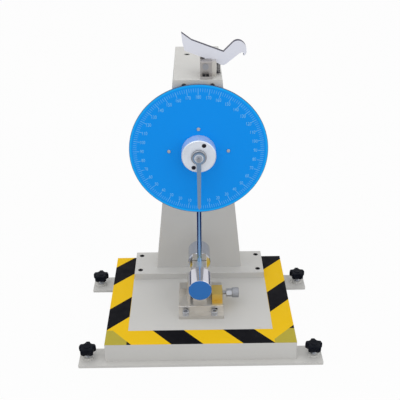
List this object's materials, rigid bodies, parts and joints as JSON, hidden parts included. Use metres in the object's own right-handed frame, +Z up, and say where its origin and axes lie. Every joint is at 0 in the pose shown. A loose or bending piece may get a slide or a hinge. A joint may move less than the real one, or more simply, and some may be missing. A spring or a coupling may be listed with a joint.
{
  "type": "pendulum impact tester",
  "caption": "Bench Izod impact tester: swinging hammer on a C-shaped frame, round dial with pointer, release latch, specimen vise and four levelling feet.",
  "frame": {"origin": "bottom centre of the bounding box, on the floor", "axes": "+X to the operator's right, +Y to the back, +Z up; the dial faces -Y"},
  "size_m": [0.5764, 0.39, 0.743],
  "materials": {
    "grey_paint": "satin",
    "dial_blue": "gloss",
    "warning_tape": "satin",
    "knob_plastic": "satin",
    "chrome": "mirror",
    "turned_steel": "satin",
    "bright_alloy": "satin",
    "dark_steel": "satin",
    "zinc_steel": "satin",
    "hammer_blue": "gloss",
    "lever_white": "satin",
    "brass": "satin"
  },
  "bodies": {
    "machine_frame": {"base_top_plate": "grey_paint", "base_end_skirts": "grey_paint", "base_side_skirts": "grey_paint", "base_ribs": "grey_paint", "front_foot_bar": "grey_paint", "rear_foot_bar": "grey_paint", "foot_bar_bosses": "grey_paint", "hazard_tape_sides": "warning_tape", "hazard_tape_front": "warning_tape", "column_flange": "grey_paint", "column_bolts": "dark_steel", "column_front_plate": "grey_paint", "column_rear_plate": "grey_paint", "column_side_plates": "grey_paint", "column_head_block": "grey_paint", "top_arm": "grey_paint", "bearing_plate": "grey_paint", "bearing_screws": "zinc_steel", "rear_bearing_housing": "grey_paint", "rear_bearing": "turned_steel", "front_bearing_housing": "bright_alloy", "front_bearing": "turned_steel", "dial_plate": "dial_blue", "dial_spacers": "zinc_steel", "dial_screws": "zinc_steel", "latch_bracket": "bright_alloy", "latch_bracket_screws": "dark_steel", "latch_pivot_pin": "zinc_steel", "spring_block": "turned_steel", "latch_spring": "dark_steel", "vise_body": "turned_steel", "vise_screws": "chrome", "vise_set_screws": "dark_steel", "fixed_jaw": "turned_steel", "clamp_nut_block": "brass"},
    "pendulum": {"pendulum_shaft": "turned_steel", "shaft_collar": "turned_steel", "pendulum_hub": "turned_steel", "pendulum_rod": "chrome", "hammer_front_weight": "hammer_blue", "hammer_rear_weight": "chrome", "hammer_centre_block": "turned_steel", "striker": "turned_steel", "catch_pin": "zinc_steel", "shaft_end_nut": "zinc_steel"},
    "pointer_hand": {"pointer_boss": "bright_alloy", "pointer": "turned_steel"},
    "latch": {"latch_lever": "lever_white"},
    "sliding_jaw": {"moving_jaw": "turned_steel"},
    "clamp_spindle": {"clamp_screw": "zinc_steel", "clamp_knob": "turned_steel"},
    "foot_front_left": {"levelling_screw_front_left": "dark_steel"},
    "foot_knob_front_left": {"star_knob_front_left": "knob_plastic"},
    "foot_front_right": {"levelling_screw_front_right": "dark_steel"},
    "foot_knob_front_right": {"star_knob_front_right": "knob_plastic"},
    "foot_rear_left": {"levelling_screw_rear_left": "dark_steel"},
    "foot_knob_rear_left": {"star_knob_rear_left": "knob_plastic"},
    "foot_rear_right": {"levelling_screw_rear_right": "dark_steel"},
    "foot_knob_rear_right": {"star_knob_rear_right": "knob_plastic"}
  },
  "joints": [
    {"name": "pendulum_swing", "type": "hinge", "parent": "machine_frame", "child": "pendulum", "pos_m": [0, -0.025, 0.495], "axis": [0, -1, 0], "range_deg": [-155, 155]},
    {"name": "pointer_turn", "type": "hinge", "parent": "machine_frame", "child": "pointer_hand", "pos_m": [0, -0.1, 0.495], "axis": [0, -1, 0], "continuous": true},
    {"name": "latch_lift", "type": "hinge", "parent": "machine_frame", "child": "latch", "pos_m": [0.0165, -0.011, 0.677], "axis": [0, -1, 0], "range_deg": [0, 15], "stiffness_Nm_per_rad": 1.2, "springref_deg": -5.73},
    {"name": "jaw_slide", "type": "slide", "parent": "machine_frame", "child": "sliding_jaw", "axis": [1, 0, 0], "range_m": [-0.0055, 0.01]},
    {"name": "clamp_turn", "type": "hinge", "parent": "sliding_jaw", "child": "clamp_spindle", "pos_m": [0.06, -0.025, 0.09], "axis": [1, 0, 0], "range_deg": [-1330, 2410]},
    {"name": "foot_height_front_left", "type": "slide", "parent": "machine_frame", "child": "foot_front_left", "axis": [0, 0, -1], "range_m": [0, 0.008]},
    {"name": "foot_knob_turn_front_left", "type": "hinge", "parent": "foot_front_left", "child": "foot_knob_front_left", "pos_m": [-0.268, -0.1635, 0.03], "axis": [0, 0, -1], "range_deg": [0, 1646]},
    {"name": "foot_height_front_right", "type": "slide", "parent": "machine_frame", "child": "foot_front_right", "axis": [0, 0, -1], "range_m": [0, 0.008]},
    {"name": "foot_knob_turn_front_right", "type": "hinge", "parent": "foot_front_right", "child": "foot_knob_front_right", "pos_m": [0.268, -0.1635, 0.03], "axis": [0, 0, -1], "range_deg": [0, 1646]},
    {"name": "foot_height_rear_left", "type": "slide", "parent": "machine_frame", "child": "foot_rear_left", "axis": [0, 0, -1], "range_m": [0, 0.008]},
    {"name": "foot_knob_turn_rear_left", "type": "hinge", "parent": "foot_rear_left", "child": "foot_knob_rear_left", "pos_m": [-0.268, 0.1415, 0.03], "axis": [0, 0, -1], "range_deg": [0, 1646]},
    {"name": "foot_height_rear_right", "type": "slide", "parent": "machine_frame", "child": "foot_rear_right", "axis": [0, 0, -1], "range_m": [0, 0.008]},
    {"name": "foot_knob_turn_rear_right", "type": "hinge", "parent": "foot_rear_right", "child": "foot_knob_rear_right", "pos_m": [0.268, 0.1415, 0.03], "axis": [0, 0, -1], "range_deg": [0, 1646]}
  ],
  "couplings": [
    {"joint": "clamp_turn", "follows": "jaw_slide", "rad_per_m": 4188.8},
    {"joint": "foot_knob_turn_front_left", "follows": "foot_height_front_left", "rad_per_m": 3590.4},
    {"joint": "foot_knob_turn_front_right", "follows": "foot_height_front_right", "rad_per_m": 3590.4},
    {"joint": "foot_knob_turn_rear_left", "follows": "foot_height_rear_left", "rad_per_m": 3590.4},
    {"joint": "foot_knob_turn_rear_right", "follows": "foot_height_rear_right", "rad_per_m": 3590.4}
  ]
}
